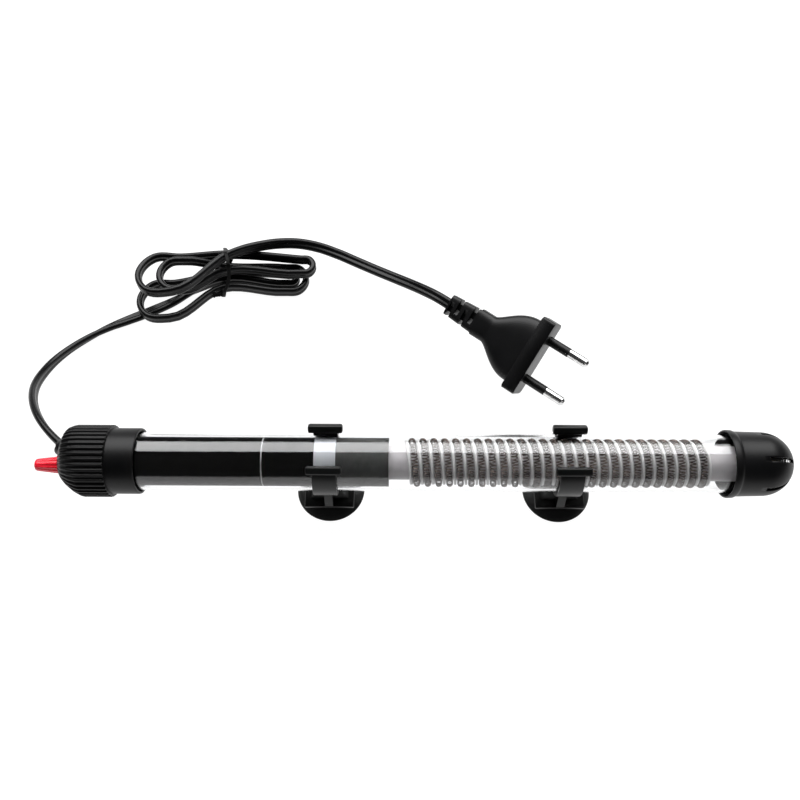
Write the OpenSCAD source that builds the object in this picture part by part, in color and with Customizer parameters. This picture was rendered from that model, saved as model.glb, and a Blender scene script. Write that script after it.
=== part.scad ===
// Submersible aquarium heater: a glass tube with a ribbed head, a slotted guard,
// two clips on suction cups, a thermostat, a wound ceramic core and a mains lead.
// X runs along the tube, from the knob to the guard. Z is up, and Z = 0 is the
// face that the suction cups rest on. Y = 0 is the plane through the tube's axis.

/* [Glass tube] */
// Outer diameter of the glass tube
glass_d = 22; // [20:0.5:24]
// Wall of the glass tube
glass_wall = 1.1; // [0.8:0.1:1.3]
// Length of glass that shows between the head cap and the guard
glass_show = 218; // [200:1:240]
// How far the glass reaches into the head cap
glass_grip = 14; // [10:1:16]

/* [Head cap] */
// Length of the head cap
cap_l = 30.6; // [29:0.1:34]
// Diameter over the grip ribs
cap_d = 27.2; // [26.4:0.1:29]
// Length of the smooth collar round the glass
collar_l = 10.8; // [8:0.1:13]
// Diameter of the smooth collar
collar_d = 25; // [24.4:0.1:26]
// Length of the rounded shoulder
shoulder_l = 8.5; // [7:0.5:10]
// Number of grip ribs
rib_n = 40; // [24:1:44]
// Depth of the grooves between the ribs
rib_depth = 0.7; // [0.4:0.1:0.9]

/* [Knob] */
// Length of the knob
knob_l = 10.1; // [9:0.1:12]
// Diameter of the knob at its foot
knob_d = 6.8; // [6:0.1:7.2]
// Diameter of the knob at its tip
knob_tip_d = 4.7; // [4:0.1:5.4]
// How far the knob's axis lies in front of the tube's axis
knob_off = 1.8; // [1.6:0.1:2.2]
// Diameter of the set spindle
spindle_d = 3; // [2.6:0.1:3.2]

/* [Heating core] */
// Diameter of the ceramic former
core_d = 13.2; // [12.6:0.1:13.6]
// Diameter of the bore through the former
core_bore_d = 4; // [3:0.5:6]
// Number of turns of the heating wire
turn_n = 27; // [20:1:28]
// Pitch of the turns
turn_pitch = 4.15; // [4:0.05:4.25]
// Diameter of the coiled heating wire
coil_d = 2.5; // [2:0.1:2.6]
// Thickness of the former's spiral ridge
ridge_t = 0.7; // [0.5:0.1:0.9]
// Height of the former's spiral ridge
ridge_h = 1.9; // [1.4:0.1:2.2]
// Bare length of the former before the first turn
core_lead = 5.4; // [5:0.1:9]

/* [Thermostat sleeve] */
// Room between the printed sleeve and the glass
sleeve_room = 0.7; // [0.6:0.05:1.1]
// Wall of the printed sleeve
sleeve_wall = 0.4; // [0.3:0.1:0.6]
// Width of the blank label round the sleeve
label_w = 8; // [6:0.5:10]
// Thickness of the blank label
label_t = 0.1; // [0.1:0.05:0.2]

/* [Guard cap] */
// Length of the guard cap
guard_l = 26; // [25:0.1:30]
// Diameter of the guard at its rim
guard_rim_d = 25.7; // [25:0.1:27]
// Diameter of the guard's dome
guard_d = 24.1; // [23.8:0.1:24.8]
// Width of the raised rim
rim_w = 3.6; // [3:0.1:6]
// Number of water slots
slot_n = 6; // [4:1:8]
// Width of a water slot
slot_w = 1.7; // [1.2:0.1:2]

/* [Clips] */
// Place of the clip nearer the head
clip_a_x = -33; // [-45:1:-25]
// Place of the clip nearer the guard
clip_b_x = 58; // [45:1:70]
// Width of the clip's ring
clip_w = 9; // [8:0.5:10]
// Wall of the clip's ring
clip_wall = 1.55; // [1.2:0.05:2]
// Half of the ring's mouth, as an angle
mouth_a = 38; // [34:1:44]
// Length of the finger bars at the mouth
bar_l = 12.8; // [11:0.1:15]
// Thickness of the finger bars
bar_t = 3; // [2.4:0.1:3.4]
// Height of the post under the ring
post_h = 8.2; // [7.6:0.1:10]
// Side of the square base plate
plate_w = 19.4; // [18:0.1:21]
// Thickness of the base plate
plate_t = 1.6; // [1.4:0.1:2]
// Thickness of the two ribs that brace the post
brace_t = 3.2; // [2.4:0.1:4]

/* [Suction cups] */
// Diameter of a suction cup
cup_d = 27; // [25:0.5:30]
// Height of a suction cup below its clip
cup_h = 4.6; // [4.4:0.1:6]
// Diameter of the cup's neck
neck_d = 5.6; // [5:0.1:6]
// Diameter of the cup's button
button_d = 8; // [7.4:0.1:8.4]

/* [Mains lead] */
// Width of the flat lead
lead_w = 5; // [4.6:0.1:5.2]
// Thickness of the flat lead
lead_t = 2.8; // [2.5:0.1:3]

/* [Mains plug] */
// Width of the plug's face
plug_w = 34.2; // [33:0.1:35.6]
// Thickness of the plug's face
plug_t = 13.7; // [13.3:0.1:14]
// Length of the plug's body
plug_l = 31; // [29:0.5:33]
// Distance between the two pins
pin_gap = 18.6; // [18.4:0.1:19]
// Length of a pin
pin_l = 19; // [18.5:0.1:19.5]
// Diameter of a bare pin
pin_d = 4; // [3.9:0.1:4.1]
// Length of the sleeved part of a pin
pin_sleeve_l = 10; // [9:0.5:11]

/* [Hidden] */

run_fit = 0.05;    // running clearance on a shaft or on the glass
seat_gap = 0.3;    // gap between faces that stay apart
hair = 0.1;        // gap between pieces that only lie against each other
glass_r = glass_d / 2;
bore_r = glass_r - glass_wall;
ring_in = glass_r + run_fit;
ring_out = ring_in + clip_wall;
plate_z = cup_h;
plate_top = plate_z + plate_t;
axis_z = plate_top + post_h + ring_out;

total_l = knob_l + seat_gap + cap_l + glass_show + guard_l;
knob_x = -total_l / 2;
cap_x = knob_x + knob_l + seat_gap;
mouth_x = cap_x + cap_l;
guard_x = mouth_x + glass_show;
guard_tip = guard_x + guard_l;
glass_x = mouth_x - glass_grip;
dome_x = guard_tip - guard_d / 2;

cap_r = cap_d / 2;
collar_r = collar_d / 2;
nose_r = 7.4;              // flat end of the head
seal_d = 4.2;              // outer diameter of the seal ring
seal_t = 0.8;              // thickness of the seal ring's cord
bush_d = 5.2;
bush_l = 20;
sleeve_r = bore_r - sleeve_room;
sleeve_d = 2 * sleeve_r;
sleeve_in = sleeve_r - sleeve_wall;
sleeve_x = glass_x + 6;
core_r = core_d / 2;
turn_x = guard_x - (turn_n + 1) * turn_pitch - 4.3;
core_x = turn_x - core_lead;
sleeve_end = core_x;
core_end = dome_x - 3;
disc_t = 1.6;
stopper_in = 5.7;          // how far the stopper reaches into the glass
slot_turn = 16.3;          // turns one slot to face the front

board_x = sleeve_x + 12;   // thermostat frame
board_l = 66;
board_w = 13;
board_t = 1.2;
board_top = -3;            // height of the board's top face over the tube's axis
lever_x = board_x + 30;    // pivot of the set lever
lever_z = -0.6;
strip_root = board_x + board_l - 4;
strip_l = strip_root - lever_x - 3;
strip_t = 0.5;
spindle_end = board_x + 6;

gland_a = 140;             // heading of the cord where it leaves the head
gland_y = 6.3;
gland_out = 1;             // how far the gland stands out of its boss
gland_w = lead_w + 1.2;
gland_t = lead_t + 1.2;
exit_x = cap_x - 1.9;
gland_in = 3;              // how far the gland reaches into the head
relief_l = 14.6;
plug_at = [52.4, 52.7, 16.3];
plug_yaw = -38;
plug_roll = 37;

// Free stretches of the flat lead. A row is a place on its middle line and the
// roll of its width, from 0 where it lies flat to 90 where it stands on edge.
lead_route = [
    [-134.8, 6.94, 27, 90], [-137.9, 9.6, 26.9, 90], [-141.4, 13, 26.4, 90],
    [-145.9, 18.2, 25, 90], [-150.3, 24.6, 22.4, 90], [-154, 31.8, 18.8, 90],
    [-156.6, 40, 14.2, 90], [-157, 49, 9.4, 88], [-155, 57.6, 5.8, 80],
    [-150.6, 65.2, 3.6, 70], [-144.2, 71.8, 2.5, 60], [-136.4, 77.4, 2.15, 38],
    [-127.6, 82.4, 1.65, 10], [-118.4, 87.2, 1.5, 0], [-110, 91.9, 1.7, 12],
    [-103, 96.4, 2.3, 45], [-97, 100.2, 2.55, 80], [-92, 102.6, 2.9, 90],
    [-87, 103.9, 3.2, 90]];
tail_route = [
    [-83, 109, 15.2, 90], [-77.5, 112, 14.8, 98], [-70.4, 115.6, 13.2, 110],
    [-62, 119, 11, 124], [-53, 121, 8.6, 138], [-44, 120.6, 6.5, 148],
    [-35, 117.8, 5.2, 156], [-26, 113.4, 4.8, 160], [-17, 108.2, 5.4, 162],
    [-8.6, 102.6, 7.2, 160], [-0.8, 96.4, 10.2, 156], [5.4, 90.7, 13.3, 150],
    [11, 85.4, 15.7, 146], [16.5, 80.8, 16.3, 143]];

// The hank: three loops, drawn in at the waist by the tie. A loop's row holds its
// front run at the waist, its right lobe, its back run at the waist and its left
// lobe. A run is [side, height]. A lobe is [reach, side, radius, height where it
// begins, height where it ends].
hank_x = -87;
hank_y = 105.5;
hank_loops = [
    [[-1.55, 3.2], [33.4, -0.9, 2.9, 2.7, 2.7], [1.7, 3.4], [36.2, -15.6, 10.5, 5.3, 6]],
    [[-6.6, 3.4], [37.8, -1.4, 7.1, 2.7, 3.2], [5.4, 3.8], [27.6, -5.4, 8.1, 12.1, 10.1]],
    [[-1.55, 8.9], [41.4, 1.7, 4.3, 8.7, 8.9], [9, 8.2], [36.6, -5.9, 12.4, 10, 15.2]]];
hank_start = [-87, 103.9, 3.2];
hank_end = [-83, 109, 15.2];
lobe_sweep = 112;          // how far a lobe turns to each side of its tip
turn_steps = 2;            // rings between two stations of a loop
sides_on_edge = [[1.4, 1.3], [0, 2.5], [-1.4, 1.3], [-1.4, -1.3], [0, -2.5], [1.4, -1.3]];

// A turned piece about the tube's axis. A point is [radius, x].
module turned(points) {
    translate([0, 0, axis_z])
        rotate([0, 90, 0])
            rotate_extrude($fn = 96)
                polygon(points);
}

// A rod along X from x1 to x2, with its axis at y and at z over the tube's axis.
module rod_x(x1, x2, d, y = 0, z = 0) {
    translate([x1, y, axis_z + z])
        rotate([0, 90, 0])
            cylinder(h = x2 - x1, d = d, $fn = 48);
}

// A box given by its low and high corners, over the tube's axis.
module block(low, high) {
    translate([low[0], low[1], axis_z + low[2]])
        cube(high - low);
}

// ---------------------------------------------------------------- tube and caps
function arc(r, cx, a1, a2, n) =
    [for (i = [0:n]) let (a = a1 + (a2 - a1) * i / n) [r * cos(a), cx + r * sin(a)]];

module glass_tube() {
    outer = concat([[glass_r, glass_x]], arc(glass_r, dome_x, 0, 90, 12));
    inner = concat(arc(bore_r, dome_x, 90, 0, 12), [[bore_r, glass_x]]);
    color("gainsboro", 0.3)
        turned(concat(outer, inner));
}

// Outline of the head from its nose to its mouth, as [radius, x] points.
function head_outline() = [
    [0, cap_x], [nose_r, cap_x],
    [nose_r + (cap_r - nose_r) * 0.45, cap_x + shoulder_l * 0.27],
    [nose_r + (cap_r - nose_r) * 0.76, cap_x + shoulder_l * 0.55],
    [nose_r + (cap_r - nose_r) * 0.94, cap_x + shoulder_l * 0.82],
    [cap_r, cap_x + shoulder_l],
    [cap_r, mouth_x - collar_l - 0.6], [collar_r, mouth_x - collar_l],
    [collar_r, mouth_x - 0.6], [collar_r - 0.6, mouth_x], [0, mouth_x]];

function rib_ring() = [
    for (i = [0:rib_n - 1], j = [0:3])
        let (a = (i + [0, 0.42, 0.58, 0.84][j]) * 360 / rib_n,
             r = cap_r + 0.02 - (j < 2 ? 0 : rib_depth))
        [r * cos(a), r * sin(a)]];

module ribbed_head() {
    intersection() {
        turned(head_outline());
        translate([cap_x - 1, 0, axis_z])
            rotate([0, 90, 0])
                linear_extrude(mouth_x - collar_l - cap_x + 1)
                    polygon(rib_ring());
    }
}

module collar() {
    turned([[0, mouth_x - collar_l - 2], [collar_r, mouth_x - collar_l - 2],
            [collar_r, mouth_x - 0.6], [collar_r - 0.6, mouth_x], [0, mouth_x]]);
}

// Places its children at the cord's exit, with local X along the leaving cord.
module at_exit() {
    translate([exit_x, gland_y, axis_z])
        rotate([0, 0, gland_a])
            children();
}

// A flat rod with round edges along local X, w high and t thick.
module flat_rod(l, w, t) {
    rotate([0, 90, 0])
        linear_extrude(l) {
            square([w - t, t], center = true);
            for (s = [-1, 1])
                translate([s * (w - t) / 2, 0])
                    circle(d = t, $fn = 32);
        }
}

module head_cap() {
    color([0.09, 0.09, 0.1])
        difference() {
            union() {
                ribbed_head();
                collar();
                at_exit()
                    translate([-8, 0, 0])
                        rotate([0, 90, 0])
                            cylinder(h = 8, r1 = 4.5, r2 = 3.9, $fn = 48);
                translate([cap_x + 2.3, gland_y + 1.8, axis_z])
                    sphere(r = 4.4, $fn = 48);
            }
            rod_x(glass_x - 2, mouth_x + 1, 2 * (glass_r + hair));
            rod_x(cap_x - 1, glass_x, bush_d, -knob_off);
            rod_x(cap_x - 1, cap_x + 1.2, seal_d + 0.1, -knob_off);
            rod_x(knob_x, cap_x, knob_d + 1.2, -knob_off);
            at_exit()
                translate([-gland_in, 0, 0])
                    flat_rod(gland_in + 6, gland_w, gland_t);
        }
}

module cap_stopper() {
    color([0.16, 0.16, 0.16])
        difference() {
            turned([[0, glass_x - 2], [glass_r - 0.2, glass_x - 2], [glass_r - 0.2, glass_x],
                    [bore_r - run_fit, glass_x], [bore_r - run_fit, glass_x + stopper_in],
                    [0, glass_x + stopper_in]]);
            rod_x(glass_x - 3, glass_x + stopper_in + 1, bush_d, -knob_off);
        }
}

module knob_bush() {
    color("darkgoldenrod")
        difference() {
            rod_x(cap_x + 1.2, cap_x + 1.2 + bush_l, bush_d, -knob_off);
            rod_x(cap_x, cap_x + 2 + bush_l, spindle_d + 2 * run_fit, -knob_off);
        }
}

module cord_gland() {
    color([0.1, 0.1, 0.11])
        at_exit()
            translate([-gland_in, 0, 0])
                flat_rod(gland_in + gland_out, gland_w, gland_t);
}

module guard_cap() {
    outer = concat([[guard_rim_d / 2 - 0.5, guard_x], [guard_rim_d / 2, guard_x + 0.6],
                    [guard_rim_d / 2 - 0.1, guard_x + rim_w], [guard_d / 2 + 0.35, guard_x + rim_w + 0.5]],
                   arc(guard_d / 2, dome_x, 0, 90, 16));
    inner = concat(arc(glass_r + hair, dome_x, 90, 0, 16), [[glass_r + hair, guard_x]]);
    color([0.1, 0.1, 0.11])
        difference() {
            turned(concat(outer, inner));
            for (i = [0:slot_n - 1])
                translate([0, 0, axis_z])
                    rotate([i * 360 / slot_n + slot_turn, 0, 0])
                        translate([dome_x - 0.6, -slot_w / 2, 4])
                            cube([guard_l, slot_w, guard_rim_d]);
        }
}
// ---------------------------------------------------------------- heating core
module core_former() {
    color("gainsboro")
        difference() {
            rod_x(core_x - 3, core_end, core_d);
            rod_x(core_x - 4, core_end + 1, core_bore_d);
        }
}

// Skin of a tube of n rings with m points each, closed by its two end faces.
// Its faces are triangles.
function tube_faces(n, m) = concat(
    [for (i = [1:m - 2]) [0, i + 1, i]],
    [for (i = [0:n - 2], j = [0:m - 1]) [i * m + j, i * m + (j + 1) % m, (i + 1) * m + j]],
    [for (i = [0:n - 2], j = [0:m - 1])
        [i * m + (j + 1) % m, (i + 1) * m + (j + 1) % m, (i + 1) * m + j]],
    [for (i = [1:m - 2]) [(n - 1) * m, (n - 1) * m + i, (n - 1) * m + i + 1]]);

// A helix along X about the tube's axis. An edge point is [radius, x].
turn_rings = 12;
module helix(x, turns, edge) {
    n = round(turns * turn_rings) + 1;
    points = [for (i = [0:n - 1], p = edge)
        let (a = 360 * i / turn_rings)
        [x + p[1] + turn_pitch * i / turn_rings, p[0] * cos(a), axis_z + p[0] * sin(a)]];
    polyhedron(points, tube_faces(n, len(edge)));
}

chord = cos(180 / turn_rings);
coil_r = (core_r + coil_d / 2 + 0.05) / chord;

module core_ridge() {
    low = core_r / chord + 0.02;
    high = core_r + ridge_h;
    color("whitesmoke")
        helix(turn_x, turn_n + 1, [[high, 0.15 - ridge_t / 2], [high, ridge_t / 2 - 0.15],
                                   [low, ridge_t / 2], [low, -ridge_t / 2]]);
}

module heating_wire() {
    r = coil_d / 2;
    echo(least_gap_of_wire = turn_pitch - coil_d);
    color([0.3, 0.26, 0.25])
        helix(turn_x + turn_pitch / 2, turn_n,
              [for (k = [0:5]) [coil_r + r * cos(60 * k), -r * sin(60 * k)]]);
}

module return_wire() {
    color("silver")
        rod_x(core_x - 4, core_end + 1.5, 1, 0, 0);
}

module front_disc() {
    color("tan")
        difference() {
            rod_x(core_x - 3 - disc_t, core_x - 3, 2 * sleeve_in - 2 * hair);
            rod_x(core_x - 7, core_x, 3);
        }
}

module end_disc() {
    color("tan")
        difference() {
            rod_x(core_end, core_end + disc_t, 2 * bore_r - 2 * hair);
            rod_x(core_end - 1, core_end + 3, 3);
        }
}

// ---------------------------------------------------------------- thermostat
module print_sleeve() {
    color([0.08, 0.08, 0.09])
        difference() {
            rod_x(sleeve_x, sleeve_end, sleeve_d);
            rod_x(sleeve_x - 1, sleeve_end + 1, 2 * sleeve_in);
        }
}

module rating_label() {
    color("white")
        intersection() {
            difference() {
                rod_x(clip_a_x - label_w / 2, clip_a_x + label_w / 2, sleeve_d + 2 * label_t + 0.04);
                rod_x(clip_a_x - label_w, clip_a_x + label_w, sleeve_d + 0.04);
            }
            block([clip_a_x - label_w, -sleeve_d, -2.5], [clip_a_x + label_w, sleeve_d, sleeve_d]);
        }
}

module thermostat_base() {
    low = board_top - board_t;
    color("peru")
        difference() {
            union() {
                block([board_x, -board_w / 2, low], [board_x + board_l, board_w / 2, board_top]);
                block([strip_root, -2.5, board_top], [strip_root + 4, 2.5, -0.5]);
                for (y = [-5, 2])
                    block([lever_x - 1.6, y, board_top], [lever_x + 1.6, y + 1.4, lever_z + 1.6]);
            }
            translate([lever_x, -6, axis_z + lever_z])
                rotate([-90, 0, 0])
                    cylinder(h = 12, d = 1.4, $fn = 32);
        }
}

module lever_pin() {
    color("silver")
        translate([lever_x, -5.2, axis_z + lever_z])
            rotate([-90, 0, 0])
                cylinder(h = 8.8, d = 1.3, $fn = 32);
}

// A lever that the spindle tips, with the upper contact on its far end.
module set_lever() {
    color("silver")
        difference() {
            union() {
                translate([lever_x, -3.3, axis_z + lever_z])
                    rotate([-90, 0, 0])
                        cylinder(h = 5, d = 3, $fn = 32);
                block([spindle_end + 0.5, -3.3, lever_z + 0.2], [lever_x, 1.7, lever_z + 1.2]);
                block([lever_x - 1, -2, 0.2], [lever_x + 0.6, 1.4, 4]);
                block([lever_x - 1, -2, 3], [lever_x + 9, 1.4, 4]);
            }
            translate([lever_x, -6, axis_z + lever_z])
                rotate([-90, 0, 0])
                    cylinder(h = 12, d = 1.4, $fn = 32);
        }
}

module fixed_contact() {
    color("gold")
        translate([strip_root - strip_l + 3, 0, axis_z + board_top])
            cylinder(h = 1.2, d = 2.4, $fn = 32);
}

module bimetal_strip() {
    x = strip_root - strip_l;
    color("lightsteelblue") {
        block([x, -1.8, -0.4], [strip_root + 3, 1.8, strip_t - 0.4]);
        translate([x + 3, 0, axis_z - 0.9])
            cylinder(h = 1.6, d = 2, $fn = 32);
    }
}

module magnet() {
    color([0.25, 0.25, 0.27])
        block([strip_root - strip_l + 6, -2, board_top], [strip_root - strip_l + 11, 2, board_top + 1.4]);
}

module indicator_lamp() {
    color("orange")
        translate([board_x + 8, 4.3, axis_z + board_top + 1.8])
            rotate([0, 90, 0]) {
                cylinder(h = 8, d = 3.4, $fn = 32);
                sphere(d = 3.4, $fn = 32);
            }
}

module lamp_resistor() {
    color("burlywood")
        rod_x(board_x + 20, board_x + 26, 2.2, 4.6, board_top + 1.2);
}

module supply_wires() {
    color("firebrick")
        for (s = [-1, 1])
            rod_x(glass_x + stopper_in, board_x + 2, 1.4, s * 5.2, board_top + 0.75);
}

// ---------------------------------------------------------------- knob
module knob() {
    y = -knob_off;
    n = 12;
    color([0.88, 0.1, 0.16])
        difference() {
            translate([knob_x, y, axis_z])
                rotate([0, 90, 0])
                    rotate_extrude($fn = 64)
                        polygon(concat([[0, 0], [knob_tip_d / 2 - 1, 0]],
                                       [for (a = [20:20:80]) [knob_tip_d / 2 - 1 + sin(a), 1 - cos(a)]],
                                       [[knob_tip_d / 2, 1], [knob_d / 2, knob_l], [0, knob_l]]));
            rod_x(knob_x + 3, knob_x + knob_l + 1, spindle_d, y);
            for (i = [0:n - 1])
                translate([knob_x + 1.6, y, axis_z])
                    rotate([i * 360 / n, 0, 0])
                        rotate([0, -atan((knob_d - knob_tip_d) / 2 / (knob_l - 1)), 0])
                            translate([0, 0, knob_tip_d / 2 + 0.42])
                                rotate([0, 90, 0])
                                    cylinder(h = knob_l, d = 0.9, $fn = 16);
        }
}

module knob_spindle() {
    y = -knob_off;
    color("silver")
        difference() {
            rod_x(knob_x + 3, spindle_end, spindle_d, y);
            translate([cap_x + 0.6, y, axis_z])
                rotate([0, 90, 0])
                    rotate_extrude($fn = 48)
                        translate([seal_d / 2 - seal_t / 2, 0])
                            circle(d = seal_t + 0.04, $fn = 24);
        }
}

module knob_seal() {
    color([0.12, 0.12, 0.12])
        translate([cap_x + 0.6, -knob_off, axis_z])
            rotate([0, 90, 0])
                rotate_extrude($fn = 48)
                    translate([seal_d / 2 - seal_t / 2, 0])
                        circle(d = seal_t, $fn = 24);
}

// ---------------------------------------------------------------- clips and cups
foot_w = clip_w + 2.6;     // post where it meets the plate
foot_y = 5.8;              // half depth of the post
pocket_h = 2;              // room for the button over the plate
bar_r = ring_out + bar_t / 2 - 0.3;

// The ring's section: a C that opens upwards.
module ring_section() {
    difference() {
        circle(r = ring_out, $fn = 96);
        circle(r = ring_in, $fn = 96);
        polygon([[0, 0], 30 * [-sin(mouth_a), cos(mouth_a)], [0, 60], 30 * [sin(mouth_a), cos(mouth_a)]]);
    }
}

// The clip about its own middle, with X along the tube.
module clip_shape() {
    top = axis_z - ring_in - clip_wall / 2;
    difference() {
        union() {
            translate([-clip_w / 2, 0, axis_z])
                rotate([90, 0, 90])
                    linear_extrude(clip_w)
                        ring_section();
            for (s = [-1, 1])
                translate([0, s * bar_r * sin(mouth_a), axis_z + bar_r * cos(mouth_a)])
                    rotate([s * (-mouth_a), 0, 0])
                        finger_bar();
            translate([0, foot_y, 0])
                rotate([90, 0, 0])
                    linear_extrude(2 * foot_y)
                        polygon([[-foot_w / 2, plate_z + 0.5], [foot_w / 2, plate_z + 0.5],
                                 [foot_w / 2, plate_top + 2.6], [clip_w / 2, plate_top + 5],
                                 [clip_w / 2, top], [-clip_w / 2, top],
                                 [-clip_w / 2, plate_top + 5], [-foot_w / 2, plate_top + 2.6]]);
            translate([-brace_t / 2, 0, 0])
                rotate([90, 0, 90])
                    linear_extrude(brace_t)
                        polygon([[-plate_w / 2, plate_z + 0.5], [plate_w / 2, plate_z + 0.5],
                                 [plate_w / 2, plate_top + 0.6], [ring_out * 0.62, axis_z - ring_out * 0.82],
                                 [0, top], [-ring_out * 0.62, axis_z - ring_out * 0.82],
                                 [-plate_w / 2, plate_top + 0.6]]);
            translate([-plate_w / 2, -plate_w / 2, plate_z])
                cube([plate_w, plate_w, plate_t]);
        }
        translate([0, 0, axis_z])
            rotate([0, 90, 0])
                cylinder(h = 2 * bar_l, r = ring_in, center = true, $fn = 96);
        // keyhole and pocket that the cup's button slides into from the back
        translate([0, 0, plate_z - 1])
            cylinder(h = plate_t + 2, d = neck_d + 0.2, $fn = 48);
        translate([-neck_d / 2 + 0.5, 0, plate_z - 1])
            cube([neck_d - 1, plate_w, plate_t + 2]);
        translate([0, 0, plate_top])
            cylinder(h = pocket_h, d = button_d + 0.6, $fn = 48);
        translate([-button_d / 2 - 0.3, 0, plate_top])
            cube([button_d + 0.6, plate_w, pocket_h]);
    }
}

// A finger bar with round ends and a round top, lying along X.
module finger_bar() {
    rotate([0, 90, 0])
        cylinder(h = bar_l - bar_t / 2, d = bar_t, center = true, $fn = 32);
    translate([-bar_l / 2 + bar_t / 4, -bar_t / 2, -bar_t / 2])
        cube([bar_l - bar_t / 2, bar_t, bar_t / 2]);
    for (s = [-1, 1])
        translate([s * (bar_l - bar_t / 2) / 2, 0, -bar_t / 2])
            scale([0.5, 1, 1])
                cylinder(h = bar_t / 2, d = bar_t, $fn = 32);
}

module clip_a() {
    color([0.1, 0.11, 0.11])
        translate([clip_a_x, 0, 0])
            clip_shape();
}

module clip_b() {
    color([0.1, 0.11, 0.11])
        translate([clip_b_x, 0, 0])
            clip_shape();
}

// A suction cup about its own axis, hollow underneath.
module cup_shape() {
    r = cup_d / 2;
    top = plate_top + 0.1;
    neck = neck_d / 2;
    rotate_extrude($fn = 96)
        polygon([[0, 2], [r * 0.35, 1.75], [r * 0.7, 0.95], [r - 1.2, 0], [r, 0], [r, 0.7],
                 [r * 0.82, 1.9], [r * 0.6, 2.9], [r * 0.4, 3.6], [neck + 0.6, plate_z - 0.4],
                 [neck, plate_z - 0.1], [neck, top], [button_d / 2, top],
                 [button_d / 2, top + 0.8], [button_d / 2 - 0.8, top + 1.6], [0, top + 1.6]]);
}

module suction_cup_a() {
    color([0.07, 0.07, 0.08])
        translate([clip_a_x, 0, 0])
            cup_shape();
}

module suction_cup_b() {
    color([0.07, 0.07, 0.08])
        translate([clip_b_x, 0, 0])
            cup_shape();
}

// ---------------------------------------------------------------- mains lead
function unit(v) = v / norm(v);
function place(p) = [p[0], p[1], p[2]];

// The heading of a route at row i, which leans to its shorter side.
function heading(p, i) =
    let (a = max(i - 1, 0), b = min(i + 1, len(p) - 1),
         back = norm(place(p[i] - p[a])), ahead = norm(place(p[b] - p[i])),
         lean = (p[b] - p[i]) * back / max(ahead, 0.001) + (p[i] - p[a]) * ahead / max(back, 0.001))
    back == 0 ? (p[b] - p[i]) / ahead
    : ahead == 0 ? (p[i] - p[a]) / back
    : lean / norm(place(lean));

// A smooth curve through the rows of a route, s steps to a row.
function spline(p, s) = [
    for (i = [0:len(p) - 2], k = [0:s - (i == len(p) - 2 ? 0 : 1)])
        let (t = k / s, l = norm(place(p[i + 1] - p[i])), u = heading(p, i) * l, v = heading(p, i + 1) * l)
        p[i] * (2 * t * t * t - 3 * t * t + 1) + u * (t * t * t - 2 * t * t + t)
        + p[i + 1] * (3 * t * t - 2 * t * t * t) + v * (t * t * t - t * t)];

// Rings of a flat section along rows of [x, y, z, roll]. A section point is
// [across the thickness, along the width].
function flat_rings(rows, section) = [
    for (i = [0:len(rows) - 1], q = section)
        let (ahead = unit(place(rows[min(i + 1, len(rows) - 1)]) - place(rows[max(i - 1, 0)])),
             side = unit(cross(ahead, [0, 0, 1])),
             up = cross(side, ahead),
             wide = side * cos(rows[i][3]) + up * sin(rows[i][3]),
             thin = cross(ahead, wide))
        place(rows[i]) + thin * q[0] + wide * q[1]];

module flat_tube(rows, section) {
    polyhedron(flat_rings(rows, section), tube_faces(len(rows), len(section)));
}

// Eight points round the flat lead.
function lead_section() = let (t = lead_t / 2, w = lead_w / 2) [
    [t, -w + 1.2], [t, w - 1.2], [t * 0.6, w - 0.2], [-t * 0.6, w - 0.2],
    [-t, w - 1.2], [-t, -w + 1.2], [-t * 0.6, 0.2 - w], [t * 0.6, 0.2 - w]];

module cord_lead() {
    color([0.1, 0.1, 0.12])
        flat_tube(spline(lead_route, 2), lead_section());
}

module cord_tail() {
    color([0.1, 0.1, 0.12])
        flat_tube(spline(tail_route, 2), lead_section());
}

// Stations round a lobe. way is 1 for the right lobe and -1 for the left one.
function lobe(m, way) = [
    for (k = [-1, -0.5, 0, 0.5, 1])
        let (a = k * lobe_sweep)
        [hank_x + way * (m[0] - m[2] + m[2] * cos(a)), hank_y + m[1] + way * m[2] * sin(a),
         m[3] + (m[4] - m[3]) * (k + 1) / 2]];
function run(w) = [[hank_x, hank_y + w[0], w[1]]];
function hank_stations() = concat(
    [hank_start],
    [for (k = [0:2], part = [0:3])
        let (h = hank_loops[k])
        each (part == 0 ? (k == 0 ? [] : run(h[0])) : part == 1 ? lobe(h[1], 1)
              : part == 2 ? run(h[2]) : lobe(h[3], -1))],
    [hank_end]);

// The least distance between two stretches of a line that are not neighbours.
function least_gap(p, apart) = min([
    for (i = [0:len(p) - 1], j = [0:len(p) - 1])
        if (j > i + apart) norm(p[i] - p[j])]);

module cord_hank() {
    rows = [for (p = spline(hank_stations(), turn_steps)) [p[0], p[1], p[2], 90]];
    echo(hank_least_middle_distance = least_gap([for (r = rows) place(r)], 5));
    color([0.1, 0.1, 0.12])
        flat_tube(rows, sides_on_edge);
}

module cord_tie() {
    outline = [[-9.6, 1.7], [-8.8, 0.8], [-2, 0.4], [5.8, 0.7], [6.95, 1.25], [10.75, 6.3],
               [10.8, 10], [2.4, 17.6], [0.8, 18.05], [-2.2, 18.1], [-4.1, 17.5],
               [-4.6, 16.8], [-9.65, 5.3]];
    color([0.05, 0.05, 0.05])
        translate([hank_x - 1, hank_y, 0])
            rotate([90, 0, 90])
                linear_extrude(2)
                    difference() {
                        offset(delta = 0.8)
                            polygon(outline);
                        polygon(outline);
                        translate([-20, -10])
                            square([40, 10]);
                    }
}

// ---------------------------------------------------------------- mains plug
module at_plug() {
    translate(plug_at)
        rotate([0, 0, plug_yaw])
            rotate([plug_roll, 0, 0])
                children();
}

// Half width of the plug's body at a distance d behind its face.
function body_half(d, full, neck, bend, last) =
    full - (full - neck) * pow(min(1, max(0, (d - bend) / (last - bend))), 1.7);

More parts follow.
